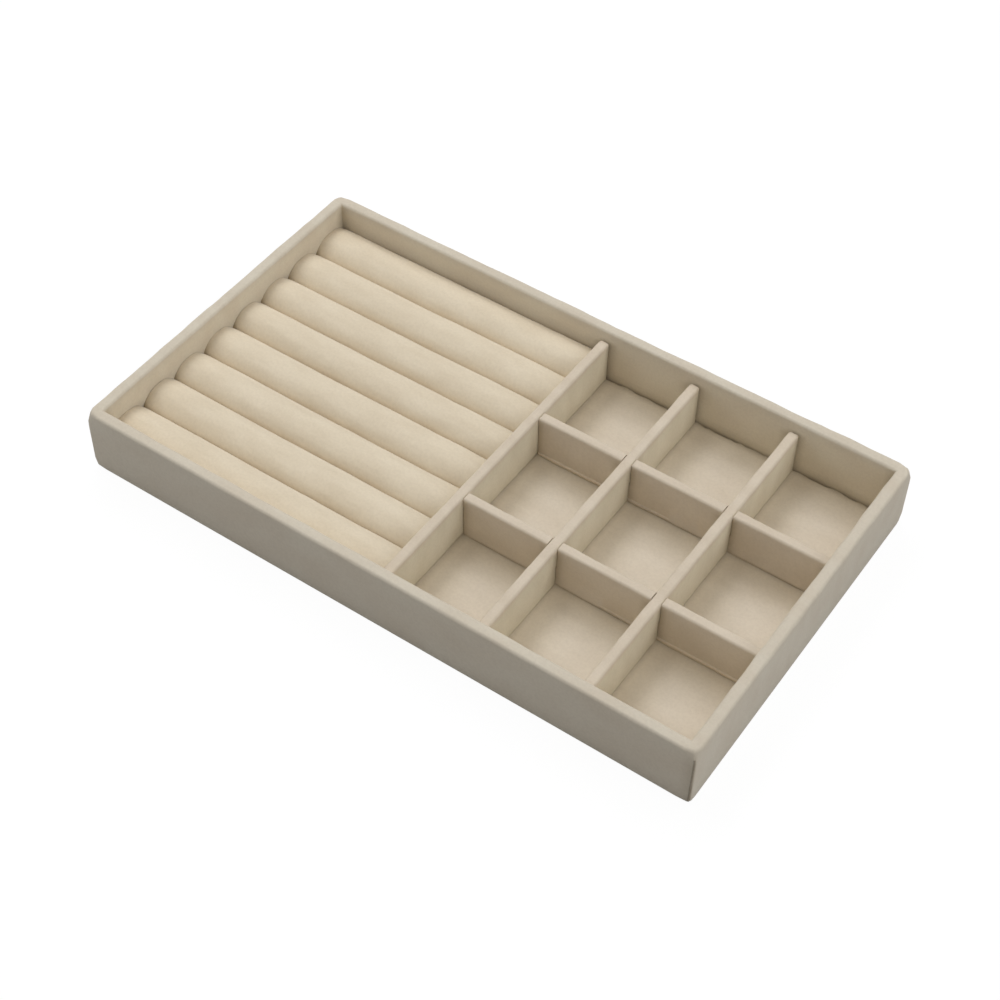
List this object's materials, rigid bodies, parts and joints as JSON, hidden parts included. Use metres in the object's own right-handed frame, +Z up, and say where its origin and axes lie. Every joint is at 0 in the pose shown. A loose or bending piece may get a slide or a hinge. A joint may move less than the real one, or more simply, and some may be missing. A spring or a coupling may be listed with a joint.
{
  "type": "jewelry tray",
  "caption": "Shallow open jewelry tray wrapped in suede-like cloth, with a bank of padded ring rolls beside a lift-out lattice of square compartments.",
  "frame": {"origin": "middle of the underside, on the surface that the tray rests on", "axes": "+X along the long side from the ring rolls to the compartments, +Y towards the back, +Z up"},
  "size_m": [0.275, 0.16, 0.03],
  "materials": {
    "fibreboard": "matte",
    "card": "matte",
    "wall_fabric": "matte",
    "lining_fabric": "matte",
    "divider_fabric": "matte",
    "roll_velvet": "matte",
    "felt": "matte",
    "foam": "matte"
  },
  "bodies": {
    "tray": {"base_board": "fibreboard", "front_wall_board": "fibreboard", "back_wall_board": "fibreboard", "left_wall_board": "fibreboard", "right_wall_board": "fibreboard", "wall_wrap": "wall_fabric", "base_sheet": "felt", "floor_card": "card", "floor_lining": "lining_fabric", "main_divider_core": "fibreboard", "main_divider_wrap": "divider_fabric", "ring_roll_foam_1": "foam", "ring_roll_sleeve_1": "roll_velvet", "ring_roll_foam_2": "foam", "ring_roll_sleeve_2": "roll_velvet", "ring_roll_foam_3": "foam", "ring_roll_sleeve_3": "roll_velvet", "ring_roll_foam_4": "foam", "ring_roll_sleeve_4": "roll_velvet", "ring_roll_foam_5": "foam", "ring_roll_sleeve_5": "roll_velvet", "ring_roll_foam_6": "foam", "ring_roll_sleeve_6": "roll_velvet", "ring_roll_foam_7": "foam", "ring_roll_sleeve_7": "roll_velvet", "ring_roll_foam_8": "foam", "ring_roll_sleeve_8": "roll_velvet"},
    "cross_strips": {"cross_strip_front_core": "fibreboard", "cross_strip_front_wrap": "divider_fabric", "cross_strip_back_core": "fibreboard", "cross_strip_back_wrap": "divider_fabric"},
    "long_divider_left": {"long_divider_left_core": "fibreboard", "long_divider_left_wrap": "divider_fabric"},
    "long_divider_right": {"long_divider_right_core": "fibreboard", "long_divider_right_wrap": "divider_fabric"}
  },
  "joints": [
    {"name": "lattice_lift", "type": "slide", "parent": "tray", "child": "cross_strips", "axis": [0, 0, 1], "range_m": [0, 0.045]},
    {"name": "long_divider_left_lift", "type": "slide", "parent": "cross_strips", "child": "long_divider_left", "axis": [0, 0, 1], "range_m": [0, 0.045]},
    {"name": "long_divider_right_lift", "type": "slide", "parent": "cross_strips", "child": "long_divider_right", "axis": [0, 0, 1], "range_m": [0, 0.045]}
  ]
}
